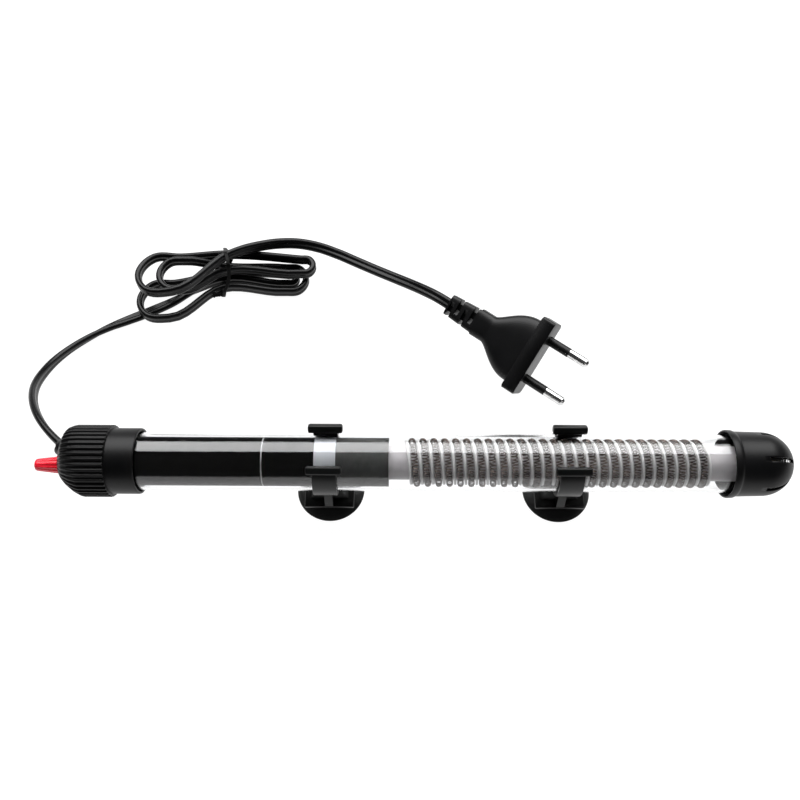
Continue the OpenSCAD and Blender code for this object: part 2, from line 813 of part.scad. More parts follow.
module plug_body() {
    flange = 6.2;
    neck_at = 24;
    wide = [for (d = [flange:1.4:neck_at]) [-d, body_half(d, plug_w / 2 - 2.4, 6.2, 7.4, neck_at)]];
    thick = [for (d = [flange:2:neck_at]) [-d, plug_t / 2 - 0.9 - 1.7 * (d - flange) / (neck_at - flange)]];
    face = plug_w / 2;
    color([0.1, 0.1, 0.11])
        at_plug() {
            rotate([0, -90, 0])
                linear_extrude(flange)
                    polygon([[-plug_t / 2, 2 - face], [2 - plug_t / 2, -face], [plug_t / 2 - 2, -face],
                             [plug_t / 2, 2 - face], [plug_t / 2, face - 2], [plug_t / 2 - 2, face],
                             [2 - plug_t / 2, face], [-plug_t / 2, face - 2]]);
            intersection() {
                translate([0, 0, -plug_t])
                    linear_extrude(2 * plug_t)
                        polygon(concat([[0, plug_w / 2 - 2.4]], wide, [[-plug_l, 6]],
                                       [[-plug_l, -6]],
                                       [for (i = [len(wide) - 1:-1:0]) [wide[i][0], -wide[i][1]]],
                                       [[0, 2.4 - plug_w / 2]]));
                rotate([90, 0, 0])
                    translate([0, 0, -plug_w])
                        linear_extrude(2 * plug_w)
                            polygon(concat([[0, plug_t / 2 - 0.9]], thick, [[-plug_l, 4]],
                                           [[-plug_l, -4]],
                                           [for (i = [len(thick) - 1:-1:0]) [thick[i][0], -thick[i][1]]],
                                           [[0, 0.9 - plug_t / 2]]));
            }
        }
}

module plug_relief() {
    color([0.1, 0.1, 0.11])
        at_plug()
            difference() {
                translate([-plug_l - relief_l, 0, 0])
                    rotate([0, 90, 0])
                        linear_extrude(relief_l, scale = [1.2, 1.25])
                            square([6.4, 9.2], center = true);
                for (i = [0:2], s = [-1, 1])
                    translate([-plug_l - 3.6 - 3.6 * i, s * 5.6 - 2.6 + (i % 2) * s * 0.6, -6])
                        cube([1.7, 5.2, 12]);
            }
}

module plug_pins() {
    color("silver")
        at_plug()
            for (s = [-1, 1])
                translate([0.05, s * pin_gap / 2, 0])
                    rotate([0, 90, 0])
                        translate([0, 0, pin_sleeve_l])
                            rotate_extrude($fn = 48)
                                polygon([[0, 0], [pin_d / 2, 0], [pin_d / 2, pin_l - pin_sleeve_l - 1],
                                         [pin_d / 2 - 0.9, pin_l - pin_sleeve_l], [0, pin_l - pin_sleeve_l]]);
}

module pin_sleeves() {
    color([0.08, 0.08, 0.08])
        at_plug()
            for (s = [-1, 1])
                translate([0, s * pin_gap / 2, 0])
                    rotate([0, 90, 0])
                        cylinder(h = pin_sleeve_l, d = pin_d, $fn = 48);
}

glass_tube();
head_cap();
cap_stopper();
knob_bush();
cord_gland();
print_sleeve();
rating_label();
thermostat_base();
front_disc();
end_disc();
magnet();
fixed_contact();
indicator_lamp();
lamp_resistor();
supply_wires();
core_former();
core_ridge();
heating_wire();
return_wire();
guard_cap();
knob();
knob_spindle();
knob_seal();
set_lever();
lever_pin();
bimetal_strip();
clip_a();
clip_b();
suction_cup_a();
suction_cup_b();
cord_lead();
cord_hank();
cord_tail();
cord_tie();
plug_body();
plug_relief();
plug_pins();
pin_sleeves();
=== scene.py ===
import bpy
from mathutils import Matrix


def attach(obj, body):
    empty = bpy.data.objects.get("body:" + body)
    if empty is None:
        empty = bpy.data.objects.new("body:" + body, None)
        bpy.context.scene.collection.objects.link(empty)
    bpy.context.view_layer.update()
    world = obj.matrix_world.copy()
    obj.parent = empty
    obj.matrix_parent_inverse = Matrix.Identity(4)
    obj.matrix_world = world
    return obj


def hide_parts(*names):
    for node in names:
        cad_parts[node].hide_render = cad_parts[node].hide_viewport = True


bl_info = {
    "name": "Aquarium heater looks",
    "version": (1, 0, 0),
    "blender": (4, 5, 0),
    "location": "View3D > Sidebar > Heater",
    "description": "Builds the visual pieces of a submersible aquarium heater on its packed frame",
    "category": "Object",
}

import math

import bpy
import numpy as np
from bpy.props import FloatProperty, IntProperty, PointerProperty
from mathutils import Matrix, Vector

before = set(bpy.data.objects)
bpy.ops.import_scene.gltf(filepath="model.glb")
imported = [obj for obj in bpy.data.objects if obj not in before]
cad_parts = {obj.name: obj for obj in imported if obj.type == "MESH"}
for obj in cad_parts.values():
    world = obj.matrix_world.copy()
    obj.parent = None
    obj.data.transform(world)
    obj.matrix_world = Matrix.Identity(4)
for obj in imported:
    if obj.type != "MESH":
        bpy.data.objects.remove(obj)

# Lengths are in millimetres up to the point where a mesh is made.
AXIS_Z = 27.0
CAP_X, GUARD_X = -132.1, 116.5
KNOB_X, KNOB_Y = -142.5, -1.8
KNOB_CLEAR = 4.05  # outside the head the cord's boss stays this far from the knob's axis
BOSS_AT, BOSS_TURN = (-134.0, 6.3, AXIS_Z), 140.0
PICTURE_UP = (0.872, 0.489)  # how much of Y and of Z the photo shows as height
CLIPS = {"clip_near_head": ("clip_a", -33.0), "clip_near_guard": ("clip_b", 58.0)}
PLUG_AT, PLUG_YAW, PLUG_ROLL = (52.4, 52.7, 16.3), -38.0, 37.0

# The fitted camera: place in metres, degrees below the level, degrees of roll.
CAMERA_AT, CAMERA_DOWN, CAMERA_ROLL = (-0.0053, -0.13299, 0.3122), 60.714, 0.29

# The soft panel behind and above the heater, in metres.
PANEL_AT, PANEL_TOWARDS, PANEL_SIZE = (0, 0.55, 0.75), (0, 0, 0.03), (1.6, 0.75)

# The lead's middle line from the head to the hank, as [x, y, z, roll] rows.
LEAD = [
    [-134.8, 6.94, 27, 90], [-137.9, 9.6, 26.9, 90], [-141.4, 13, 26.4, 90],
    [-145.9, 18.2, 25, 90], [-150.3, 24.6, 22.4, 90], [-154, 31.8, 18.8, 90],
    [-156.6, 40, 14.2, 90], [-157, 49, 9.4, 88], [-155, 57.6, 5.8, 80],
    [-150.6, 65.2, 3.6, 70], [-144.2, 71.8, 2.5, 60], [-136.4, 77.4, 2.15, 38],
    [-127.6, 82.4, 1.65, 10], [-118.4, 87.2, 1.5, 0], [-110, 91.9, 1.7, 12],
    [-103, 96.4, 2.3, 45], [-97, 100.2, 2.55, 80], [-92, 102.6, 2.9, 90],
]
TAIL = [
    [-83, 109, 15.2, 90], [-77.5, 112, 14.8, 98], [-70.4, 115.6, 13.2, 110],
    [-62, 119, 11, 124], [-53, 121, 8.6, 138], [-44, 120.6, 6.5, 148],
    [-35, 117.8, 5.2, 156], [-26, 113.4, 4.8, 160], [-17, 108.2, 5.4, 162],
    [-8.6, 102.6, 7.2, 160], [-0.8, 96.4, 10.2, 156], [5.4, 90.7, 13.3, 150],
    [11, 85.4, 15.7, 146], [16.5, 80.8, 16.3, 143],
]
# The hank's three loops: front run, right lobe, back run, left lobe. A run is
# [side, height], a lobe [reach, side, radius, first height, last height].
HANK_X, HANK_Y, SWEEP = -87.0, 105.5, 112.0
LOOPS = [
    [[-1.55, 3.2], [33.4, -0.9, 2.9, 2.7, 2.7], [1.7, 3.4], [36.2, -15.6, 10.5, 5.3, 6]],
    [[-6.6, 3.4], [37.8, -1.4, 7.1, 2.7, 3.2], [5.4, 3.8], [27.6, -5.4, 8.1, 12.1, 10.1]],
    [[-1.55, 8.9], [41.4, 1.7, 4.3, 8.7, 8.9], [9, 8.2], [36.6, -5.9, 12.4, 10, 15.2]],
]


# ------------------------------------------------------------------ geometry
class Shape:
    """Collects point grids into one mesh. Quads join neighbours along both
    parameters of a grid; wrap closes a parameter, cap closes an end with a face."""

    def __init__(self):
        self.points, self.faces, self.count = [], [], 0

    def grid(self, p, wrap=(False, True), cap=(False, False), keep=None):
        n, m = p.shape[:2]
        i = np.arange(n if wrap[0] else n - 1)
        j = np.arange(m if wrap[1] else m - 1)
        i, j = np.meshgrid(i, j, indexing="ij")
        k, l = (i + 1) % n, (j + 1) % m
        quads = np.stack([i * m + j, i * m + l, k * m + l, k * m + j], -1) + self.count
        quads = quads[keep] if keep is not None else quads.reshape(-1, 4)
        faces = quads.tolist()
        if cap[0]:
            faces.append((np.arange(m)[::-1] + self.count).tolist())
        if cap[1]:
            faces.append((np.arange(m) + (n - 1) * m + self.count).tolist())
        self.points.append(p.reshape(-1, 3))
        self.faces += faces
        self.count += n * m
        return self

    def mesh(self, name, material, sharp=40.0):
        """The object at the origin, smooth but for edges over the sharp angle."""
        me = bpy.data.meshes.new(name)
        me.from_pydata(np.concatenate(self.points) * 0.001, [], self.faces)
        me.materials.append(material)
        me.polygons.foreach_set("use_smooth", np.ones(len(self.faces), bool))
        me.set_sharp_from_angle(angle=math.radians(sharp))
        me.validate()
        ob = bpy.data.objects.new(name, me)
        bpy.context.scene.collection.objects.link(ob)
        return ob


def unit(v):
    return v / np.maximum(np.linalg.norm(v, axis=-1, keepdims=True), 1e-12)


def spline(rows, steps):
    """Hermite curve through the rows. A row's heading is the mean of its two
    chords, each weighted by the other's length."""
    p = np.array(rows, float)
    back = np.vstack([p[1:2] - p[:1], np.diff(p, axis=0)])
    ahead = np.vstack([np.diff(p, axis=0), p[-1:] - p[-2:-1]])
    lb = np.linalg.norm(back[:, :3], axis=1, keepdims=True)
    la = np.linalg.norm(ahead[:, :3], axis=1, keepdims=True)
    d = ahead * lb / la + back * la / lb
    d /= np.linalg.norm(d[:, :3], axis=1, keepdims=True)
    t = (np.arange(steps) / steps)[None, :, None]
    a, b, l = p[:-1, None], p[1:, None], la[:-1, None]
    u, v = d[:-1, None] * l, d[1:, None] * l
    q = (a * (2 * t**3 - 3 * t**2 + 1) + u * (t**3 - 2 * t**2 + t)
         + b * (3 * t**2 - 2 * t**3) + v * (t**3 - t**2))
    return np.vstack([q.reshape(-1, p.shape[1]), p[-1:]])


def flat_sweep(rows, section):
    """Rings of a section along [x, y, z, roll] rows: a section point is
    [across, along the width], and roll turns the width up from the level."""
    c, roll = rows[:, :3], np.radians(rows[:, 3:4])
    ahead = unit(np.gradient(c, axis=0))
    side = unit(np.cross(ahead, [0, 0, 1]))
    up = np.cross(side, ahead)
    wide = side * np.cos(roll) + up * np.sin(roll)
    thin = np.cross(ahead, wide)
    return c[:, None] + thin[:, None] * section[None, :, :1] + wide[:, None] * section[None, :, 1:]


def turned(x, r, angles, y=0.0, z=AXIS_Z):
    """Surface of revolution about a line along X: radius r at x, which may be
    a row per ring or a full grid over the angles."""
    r = np.asarray(r, float)
    r = r[:, None] if r.ndim == 1 else r
    a = np.asarray(angles)[None, :] if np.ndim(angles) == 1 else angles
    x = np.asarray(x, float)
    x = x[:, None] if x.ndim == 1 else x
    shape = np.broadcast_shapes(x.shape, r.shape, a.shape)
    return np.stack([np.broadcast_to(x, shape), np.broadcast_to(y + r * np.cos(a), shape),
                     np.broadcast_to(z + r * np.sin(a), shape)], -1)


def pipe(c, radius, n1, n2, sides):
    """A round wire: at each point of the line c, a ring of the radius in the
    plane of the unit vectors n1 and n2."""
    q = circle(sides)
    ring = n1[:, None] * np.cos(q)[None, :, None] + n2[:, None] * np.sin(q)[None, :, None]
    return c[:, None] + radius * ring


def circle(n):
    return np.arange(n) * 2 * np.pi / n


def rounded(points, radius, steps=4):
    """A closed outline with each corner rounded: a quadratic curve between the
    points that lie a radius before and after the corner."""
    p = np.array(points, float)
    before, after = unit(np.roll(p, 1, 0) - p), unit(np.roll(p, -1, 0) - p)
    t = np.linspace(0, 1, steps)[None, :, None]
    a, b, c = (p + before * radius)[:, None], p[:, None], (p + after * radius)[:, None]
    return (a * (1 - t) ** 2 + 2 * b * t * (1 - t) + c * t**2).reshape(-1, 2)


def rounded_box(shape, low, high, r=0.4, place=None):
    """A box as a grid: rounded rectangles stacked along its first axis, with
    smaller ones at both ends. place maps the points to where they belong."""
    low, high = np.array(low, float), np.array(high, float)
    (y0, z0), (y1, z1) = low[1:], high[1:]
    x = np.array([low[0], low[0] + 0.3 * r, low[0] + r, high[0] - r, high[0] - 0.3 * r, high[0]])
    shrink = r * np.array([1, 0.3, 0, 0, 0.3, 1])
    rings = []
    for xi, s in zip(x, shrink):
        q = rounded([[y0 + s, z0 + s], [y1 - s, z0 + s], [y1 - s, z1 - s], [y0 + s, z1 - s]], r)
        rings.append(np.column_stack([np.full(len(q), xi), q]))
    p = np.array(rings)
    shape.grid(place(p) if place else p, cap=(True, True))


def plug_place(p):
    """Plug axes to the frame: local X leaves the face, Y joins the pins."""
    yaw = Matrix.Rotation(math.radians(PLUG_YAW), 3, "Z")
    m = yaw @ Matrix.Rotation(math.radians(PLUG_ROLL), 3, "X")
    return p @ np.array(m).T + np.array(PLUG_AT)


def hank_rows():
    """Stations of the hank, each on edge."""
    k = np.array([-1, -0.5, 0, 0.5, 1])
    a = np.radians(SWEEP * k)

    def lobe(m, way):
        x = HANK_X + way * (m[0] - m[2] + m[2] * np.cos(a))
        y = HANK_Y + m[1] + way * m[2] * np.sin(a)
        return np.column_stack([x, y, m[3] + (m[4] - m[3]) * (k + 1) / 2]).tolist()

    rows = [[HANK_X, HANK_Y + LOOPS[0][0][0], LOOPS[0][0][1]]]
    for i, (front, right, back, left) in enumerate(LOOPS):
        if i:
            rows.append([HANK_X, HANK_Y + front[0], front[1]])
        rows += lobe(right, 1) + [[HANK_X, HANK_Y + back[0], back[1]]] + lobe(left, -1)
    return [r + [90] for r in rows]


# ----------------------------------------------------------------- materials
class Nodes:
    """Short calls for a material's node tree."""

    def __init__(self, name):
        self.m = bpy.data.materials.new(name)
        self.m.use_nodes = True
        self.t = self.m.node_tree
        self.b = self.t.nodes["Principled BSDF"]

    def new(self, kind, values=None, **settings):
        n = self.t.nodes.new("ShaderNode" + kind)
        for k, v in settings.items():
            setattr(n, k, v)
        for k, v in (values or {}).items():
            n.inputs[k].default_value = v
        return n

    def link(self, a, b):
        self.t.links.new(a, b)

    def position(self):
        return self.new("TexCoord").outputs["Object"]

    def noise(self, scale, detail=3.0, stretch=(1, 1, 1)):
        m = self.new("Mapping", {"Scale": stretch})
        self.link(self.position(), m.inputs["Vector"])
        n = self.new("TexNoise", {"Scale": scale, "Detail": detail})
        self.link(m.outputs["Vector"], n.inputs["Vector"])
        return n.outputs["Fac"]

    def ramp(self, fac, stops):
        n = self.new("ValToRGB")
        while len(n.color_ramp.elements) < len(stops):
            n.color_ramp.elements.new(0.5)
        for e, (at, c) in zip(n.color_ramp.elements, stops):
            e.position, e.color = at, (*c, 1)
        self.link(fac, n.inputs["Fac"])
        return n.outputs["Color"]

    def span(self, fac, low, high):
        n = self.new("MapRange", {"To Min": low, "To Max": high})
        self.link(fac, n.inputs["Value"])
        return n.outputs["Result"]

    def bump(self, height, strength, distance=0.0002):
        n = self.new("Bump", {"Strength": strength, "Distance": distance})
        self.link(height, n.inputs["Height"])
        self.link(n.outputs["Normal"], self.b.inputs["Normal"])

    def math(self, op, a, b=0.0):
        n = self.new("Math", operation=op)
        for i, v in enumerate((a, b)):
            if isinstance(v, (int, float)):
                n.inputs[i].default_value = v
            else:
                self.link(v, n.inputs[i])
        return n.outputs[0]


def worn(name, dark, light, rough, metal=0.0, scale=900.0, bump=0.15, stretch=(1, 1, 1), **sockets):
    """A surface whose colour and gloss both vary with a fine and a broad noise."""
    n = Nodes(name)
    broad, fine = n.noise(60.0, 4.0, stretch), n.noise(scale, 3.0, stretch)
    n.link(n.ramp(broad, [(0.3, dark), (0.7, light)]), n.b.inputs["Base Color"])
    n.link(n.span(broad, *rough), n.b.inputs["Roughness"])
    n.b.inputs["Metallic"].default_value = metal
    for k, v in sockets.items():
        n.b.inputs[k.replace("_", " ")].default_value = v
    n.bump(fine, bump, 0.00005)
    return n.m


def make_materials():
    """Every finish by name. Dimensions in a pattern are metres on the object."""
    made = {}
    made["black"] = worn(
        "BlackPlastic", (0.0018, 0.0018, 0.002), (0.004, 0.004, 0.0045), (0.34, 0.46),
        Specular_IOR_Level=0.22)
    made["clip"] = worn(
        "ClipPlastic", (0.002, 0.0022, 0.0022), (0.005, 0.0055, 0.0055), (0.28, 0.42),
        Specular_IOR_Level=0.28)
    made["cord"] = worn(
        "CordSheath", (0.0012, 0.0012, 0.0014), (0.003, 0.003, 0.0034), (0.24, 0.36),
        scale=500.0, bump=0.1, Specular_IOR_Level=0.24)
    made["tie"] = worn(
        "TieCoat", (0.001, 0.001, 0.001), (0.002, 0.002, 0.002), (0.4, 0.55),
        Specular_IOR_Level=0.1)
    made["plug"] = worn(
        "PlugPlastic", (0.0018, 0.0018, 0.002), (0.004, 0.004, 0.0045), (0.3, 0.44),
        Specular_IOR_Level=0.26)
    made["cup"] = worn(
        "CupRubber", (0.008, 0.0085, 0.0085), (0.018, 0.0185, 0.0185), (0.3, 0.45),
        Specular_IOR_Level=0.45)
    made["red"] = worn(
        "RedPlastic", (0.82, 0.01, 0.026), (0.93, 0.016, 0.04), (0.22, 0.34),
        bump=0.05)
    made["chrome"] = worn(
        "Chrome", (0.6, 0.6, 0.6), (0.8, 0.8, 0.8), (0.12, 0.22),
        metal=1.0, stretch=(1, 6, 6))
    made["steel"] = worn("Steel", (0.4, 0.4, 0.4), (0.55, 0.55, 0.54), (0.25, 0.4), metal=1.0)
    made["brass"] = worn("Brass", (0.55, 0.4, 0.16), (0.7, 0.53, 0.24), (0.25, 0.4), metal=1.0)
    made["board"] = worn("Board", (0.28, 0.2, 0.12), (0.42, 0.32, 0.2), (0.6, 0.75))
    made["rubber"] = worn("SealRubber", (0.014, 0.014, 0.014), (0.024, 0.024, 0.024), (0.5, 0.65))
    made["lamp"] = worn("LampGlass", (0.7, 0.3, 0.12), (0.85, 0.45, 0.2), (0.1, 0.2))
    made["wire"] = worn(
        "HeatingAlloy", (0.04, 0.026, 0.022), (0.26, 0.21, 0.185), (0.3, 0.5),
        metal=0.7, scale=1500.0)
    made["ridge"] = worn("RidgeCeramic", (0.84, 0.83, 0.82), (0.93, 0.93, 0.92), (0.45, 0.6))

    n = Nodes("FormerCeramic")
    specks, cloud = n.noise(900.0, 2.0), n.noise(120.0, 4.0, (0.3, 1, 1))
    clay = n.ramp(cloud, [(0.3, (0.5, 0.475, 0.485)), (0.7, (0.78, 0.75, 0.76))])
    n.link(clay, n.b.inputs["Base Color"])
    n.link(n.span(specks, 0.5, 0.75), n.b.inputs["Roughness"])
    n.bump(specks, 0.4, 0.0001)
    made["former"] = n.m

    n = Nodes("TubeGlass")
    streak = n.noise(40.0, 2.0, (0.1, 1, 1))
    n.link(n.span(streak, 0.0, 0.02), n.b.inputs["Roughness"])
    clear = n.ramp(streak, [(0.2, (0.97, 0.975, 0.985)), (0.8, (1, 1, 1))])
    n.link(clear, n.b.inputs["Base Color"])
    n.b.inputs["IOR"].default_value = 1.47
    n.b.inputs["Transmission Weight"].default_value = 1.0
    made["glass"] = n.m

    # Printed sleeve: black with one white line, then plain dark grey nearer the
    # guard. x is the place along the tube in metres.
    n = Nodes("PrintedSleeve")
    s = n.new("SeparateXYZ")
    n.link(n.position(), s.inputs[0])
    x = s.outputs["X"]
    grain = n.noise(500.0, 3.0)
    black = n.ramp(grain, [(0.3, (0.0006, 0.0006, 0.0006)), (0.7, (0.0016, 0.0016, 0.0016))])
    grey = n.ramp(grain, [(0.3, (0.075, 0.076, 0.073)), (0.7, (0.09, 0.091, 0.087))])
    past = n.math("GREATER_THAN", x, -0.0335)
    two = n.new("Mix", data_type="RGBA")
    n.link(past, two.inputs["Factor"])
    n.link(black, two.inputs["A"])
    n.link(grey, two.inputs["B"])
    lines = n.math("LESS_THAN", n.math("ABSOLUTE", n.math("ADD", x, 0.0563)), 0.00022)
    mixed = n.new("Mix", data_type="RGBA", clamp_factor=True)
    n.link(lines, mixed.inputs["Factor"])
    n.link(two.outputs["Result"], mixed.inputs["A"])
    mixed.inputs["B"].default_value = (0.6, 0.6, 0.6, 1)
    n.link(mixed.outputs["Result"], n.b.inputs["Base Color"])
    n.link(n.span(grain, 0.7, 0.85), n.b.inputs["Roughness"])
    n.b.inputs["Specular IOR Level"].default_value = 0.03
    made["sleeve"] = n.m

    made["label"] = worn("SilverLabel", (0.62, 0.64, 0.67), (0.74, 0.76, 0.79), (0.35, 0.5))
    return made


# -------------------------------------------------------------------- pieces
def add(ob, body, *replaced, slot=None):
    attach(ob, body)
    if replaced:
        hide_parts(*replaced)
    return ob


def build_cord(mats, s):
    """The flat twin lead as one tube: two round cores side by side, which meet
    in a shallow groove."""
    rows = spline(LEAD + hank_rows() + TAIL, s.cord_steps)
    r, apart = 1.4, 1.1
    a = np.radians(np.linspace(-130, 130, 12))
    right = np.column_stack([r * np.sin(a), apart + r * np.cos(a)])
    section = np.vstack([right, right * [-1, -1]])
    ob = Shape().grid(flat_sweep(rows, section), cap=(True, True)).mesh("cord", mats["cord"], 60)
    add(ob, "heater", "cord_lead", "cord_hank", "cord_tail", slot="cord_rubber")
    return ob, rows[:, :3] * 0.001


def build_tie(mats):
    """A flat band round the hank and two twisted ends. The band bows along the
    tube by a parabola of its height in the picture; the bow fades out near the
    floor. An end winds round the other, and opens over its last part."""
    outline = [[-10, 1.6], [-9, 0.5], [-2, 0.05], [5.9, 0.35], [7.2, 1], [11.1, 6.2], [11.2, 10.2],
               [2.6, 17.9], [0.9, 18.35], [-2.3, 18.4], [-4.3, 17.8], [-4.95, 16.9], [-10, 5.5]]
    ring = rounded(outline, 0.45, 4)
    ring = np.vstack([ring, ring[:1]])
    run = np.concatenate([[0], np.cumsum(np.linalg.norm(np.diff(ring, axis=0), axis=1))])
    at = np.arange(180) / 180 * run[-1]
    band = np.column_stack([np.interp(at, run, ring[:, 0]), np.interp(at, run, ring[:, 1])])
    ahead = unit(np.roll(band, -1, 0) - np.roll(band, 1, 0))
    out = np.column_stack([ahead[:, 1], -ahead[:, 0]])
    sec = np.array([[-0.7, 0.35], [0.7, 0.35], [0.85, 0], [0.7, -0.3], [-0.7, -0.3], [-0.85, 0]])
    yz = band[:, None] + out[:, None] * sec[None, :, 1:]
    yz[..., 1] = np.maximum(yz[..., 1], 0.02)
    v = band @ np.array(PICTURE_UP)
    v = 2 * (v - v.min()) / (v.max() - v.min()) - 1
    most, floor_end, fade = 4.6, 1.5, 3.5
    bow = most * (1 - v**2) * np.clip((band[:, 1] - floor_end) / fade, 0, 1)
    x = HANK_X + sec[None, :, :1] + bow[:, None, None]
    p = np.concatenate([x, yz[..., :1] + HANK_Y, yz[..., 1:]], -1)
    shape = Shape().grid(p, wrap=(True, True))
    t = np.linspace(0, 1, 48)
    for turn in (0, np.pi):
        a = turn + t * 14
        r = 0.6 + 1.2 * np.clip(t - 0.7, 0, 1)
        y = HANK_Y - 10 - 1.2 * t + r * np.cos(a)
        c = np.column_stack([HANK_X - 0.4 - 3.4 * t, y, 3.2 + t + r * np.sin(a)])
        d = unit(np.gradient(c, axis=0))
        n1 = unit(np.cross(d, [0, 0, 1]))
        shape.grid(pipe(c, 0.45, n1, np.cross(n1, d), 8), cap=(True, True))
    ob = shape.mesh("cord_twist_tie", mats["tie"], 50)
    return add(ob, "heater", "cord_tie", slot="tie_plastic")


def superellipse(w, t, power, n=48):
    """The closed curve |x / w|^power + |y / t|^power = 1 in n points."""
    a = circle(n)
    c, s = np.cos(a), np.sin(a)
    x, y = np.sign(c) * np.abs(c) ** (2 / power), np.sign(s) * np.abs(s) ** (2 / power)
    return np.column_stack([w * x, t * y])


def build_plug(mats):
    """A face flange, a body whose half width falls along the S curve
    1 - (1 - s^2.2)^1.5 to its neck, and a strain relief with alternate cuts."""
    shape = Shape()
    corner = [[-17.1, -6.85], [17.1, -6.85], [17.1, 6.85], [-17.1, 6.85]]
    rings = []
    for x, k in ((-6.2, 0.3), (-5.9, 0), (-0.3, 0), (0, 0.3)):
        q = rounded(corner, 1.6, 5)
        rings.append(np.column_stack([np.full(len(q), x), q * (1 - k / 10)]))
    shape.grid(plug_place(np.array(rings)), cap=(True, True))
    d = np.concatenate([np.linspace(5.8, 7.4, 3), np.linspace(8, 25, 34), np.linspace(26, 31, 4)])
    wide, drop, starts, runs = 14.65, 8.45, 7.4, 17.6
    w = wide - drop * (1 - (1 - np.clip((d - starts) / runs, 0, 1) ** 2.2) ** 1.5)
    t = np.interp(d, [5.8, 24, 31], [5.9, 4.3, 4.2])
    power = np.interp(d, [5.8, 24, 31], [4.0, 3.0, 3.4])
    body = [np.column_stack([np.full(48, -di), superellipse(wi, ti, pi)])
            for di, wi, ti, pi in zip(d, w, t, power)]
    shape.grid(plug_place(np.array(body)[::-1]), cap=(True, True))
    ob = shape.mesh("plug_shell", mats["plug"], 35)
    add(ob, "heater", "plug_body", slot="black_plastic")

    relief = Shape()
    d = np.linspace(30.6, 45.6, 61)
    w = np.interp(d, [30.6, 45.6], [5.6, 4.7])
    t = np.interp(d, [30.6, 45.6], [3.9, 3.3])
    first_cut, cut_pitch, deep_in, side_in = 31.4, 3.6, 0.5, 0.55
    phase = (d - first_cut) / cut_pitch
    rings = []
    for di, wi, ti, ph in zip(d, w, t, phase):
        q = superellipse(wi, ti, 5.0, 56)
        cut = 1.0 if 0.25 < ph % 1 < 0.7 and 0 < ph < 4 else 0.0
        side = 1 if int(ph) % 2 == 0 else -1
        deep = cut * (q[:, 0] * side > -wi * 0.35)
        q[:, 1] *= 1 - deep_in * deep
        past = (deep > 0) & (q[:, 0] * side > wi * side_in)
        q[:, 0] = np.where(past, side * wi * side_in, q[:, 0])
        rings.append(np.column_stack([np.full(56, -di), q]))
    relief.grid(plug_place(np.array(rings)[::-1]), cap=(True, True))
    ob2 = relief.mesh("plug_strain_relief", mats["plug"], 35)
    add(ob2, "heater", "plug_relief", slot="black_plastic")
    return ob, ob2


def build_head(mats, s):
    """Ribbed cap: a radius between a low and a high outline by the cosine of the
    angle from the fuller side, less a groove depth that repeats round the axis
    and fades out at the nose; a plain collar; the cord's boss."""
    x = np.concatenate([np.linspace(0, 8.5, 30), np.linspace(9.1, 18.7, 8)])
    low = np.interp(x, [0, 0.5, 3, 5.4, 7.4, 8.5, 20], [7, 7.8, 10.2, 12.1, 13.2, 13.6, 13.6])
    high = np.interp(x, [0, 0.4, 1, 1.5, 1.9, 2.6, 4, 5.5, 20],
                     [7.2, 8.4, 9.6, 10.8, 12, 12.7, 13.25, 13.6, 13.6])
    n = s.ribs * 12
    a = circle(n)
    full_side, groove_depth = 29, 0.75
    groove = np.clip(0.5 + 0.8 * np.cos(s.ribs * a), 0, 1)[None, :]
    fade = np.interp(x, [0, 1.5, 6], [0.15, 0.7, 1])[:, None]
    full = (0.5 + 0.5 * np.cos(a - math.radians(full_side)))[None, :]
    r = low[:, None] + (high - low)[:, None] * full - groove_depth * fade * groove
    shape = Shape()
    shape.grid(turned(CAP_X + x, r, a), cap=(True, False))
    step = [(18.7, 13.55), (18.95, 13.3), (19.1, 12.5), (19.7, 12.42), (28.9, 12.42), (29.35, 12.3),
            (29.5, 12), (29.5, 11.6), (29.2, 11.35), (24.5, 11.3)]
    sx, sr = np.array(step).T
    flat = turned(CAP_X + sx, sr, a)
    flat[0] = turned(CAP_X + sx[:1], r[-1:], a)[0]
    shape.grid(flat)
    place = Matrix.Translation(BOSS_AT) @ Matrix.Rotation(math.radians(BOSS_TURN), 4, "Z")
    bx = np.array([-8, -6, -4, -2, -0.5, -0.15, 0, 0])
    br = np.array([4.45, 4.3, 4.15, 4, 3.9, 3.8, 3.6, 0.5])
    boss = turned(bx, br, circle(56), 0, 0)
    boss = boss @ np.array(place.to_3x3()).T + np.array(place.translation)
    f = np.linspace(0.02, np.pi - 0.02, 20)
    ball = 4.35
    lump = turned(ball * np.cos(f), ball * np.sin(f), circle(40), 0, 0) + [CAP_X + 2.3, 8.1, AXIS_Z]
    for part in (boss, lump):
        off = part[..., 1:] - [KNOB_Y, AXIS_Z]
        away = np.linalg.norm(off, axis=-1, keepdims=True)
        grow = np.maximum(1, KNOB_CLEAR / np.maximum(away, 0.1))
        clear = np.where(part[..., :1] < CAP_X + 0.5, grow, 1)
        part[..., 1:] = off * clear + [KNOB_Y, AXIS_Z]
        shape.grid(part)
    ob = shape.mesh("head_shell", mats["black"], 50)
    return add(ob, "heater", "head_cap", slot="black_plastic")


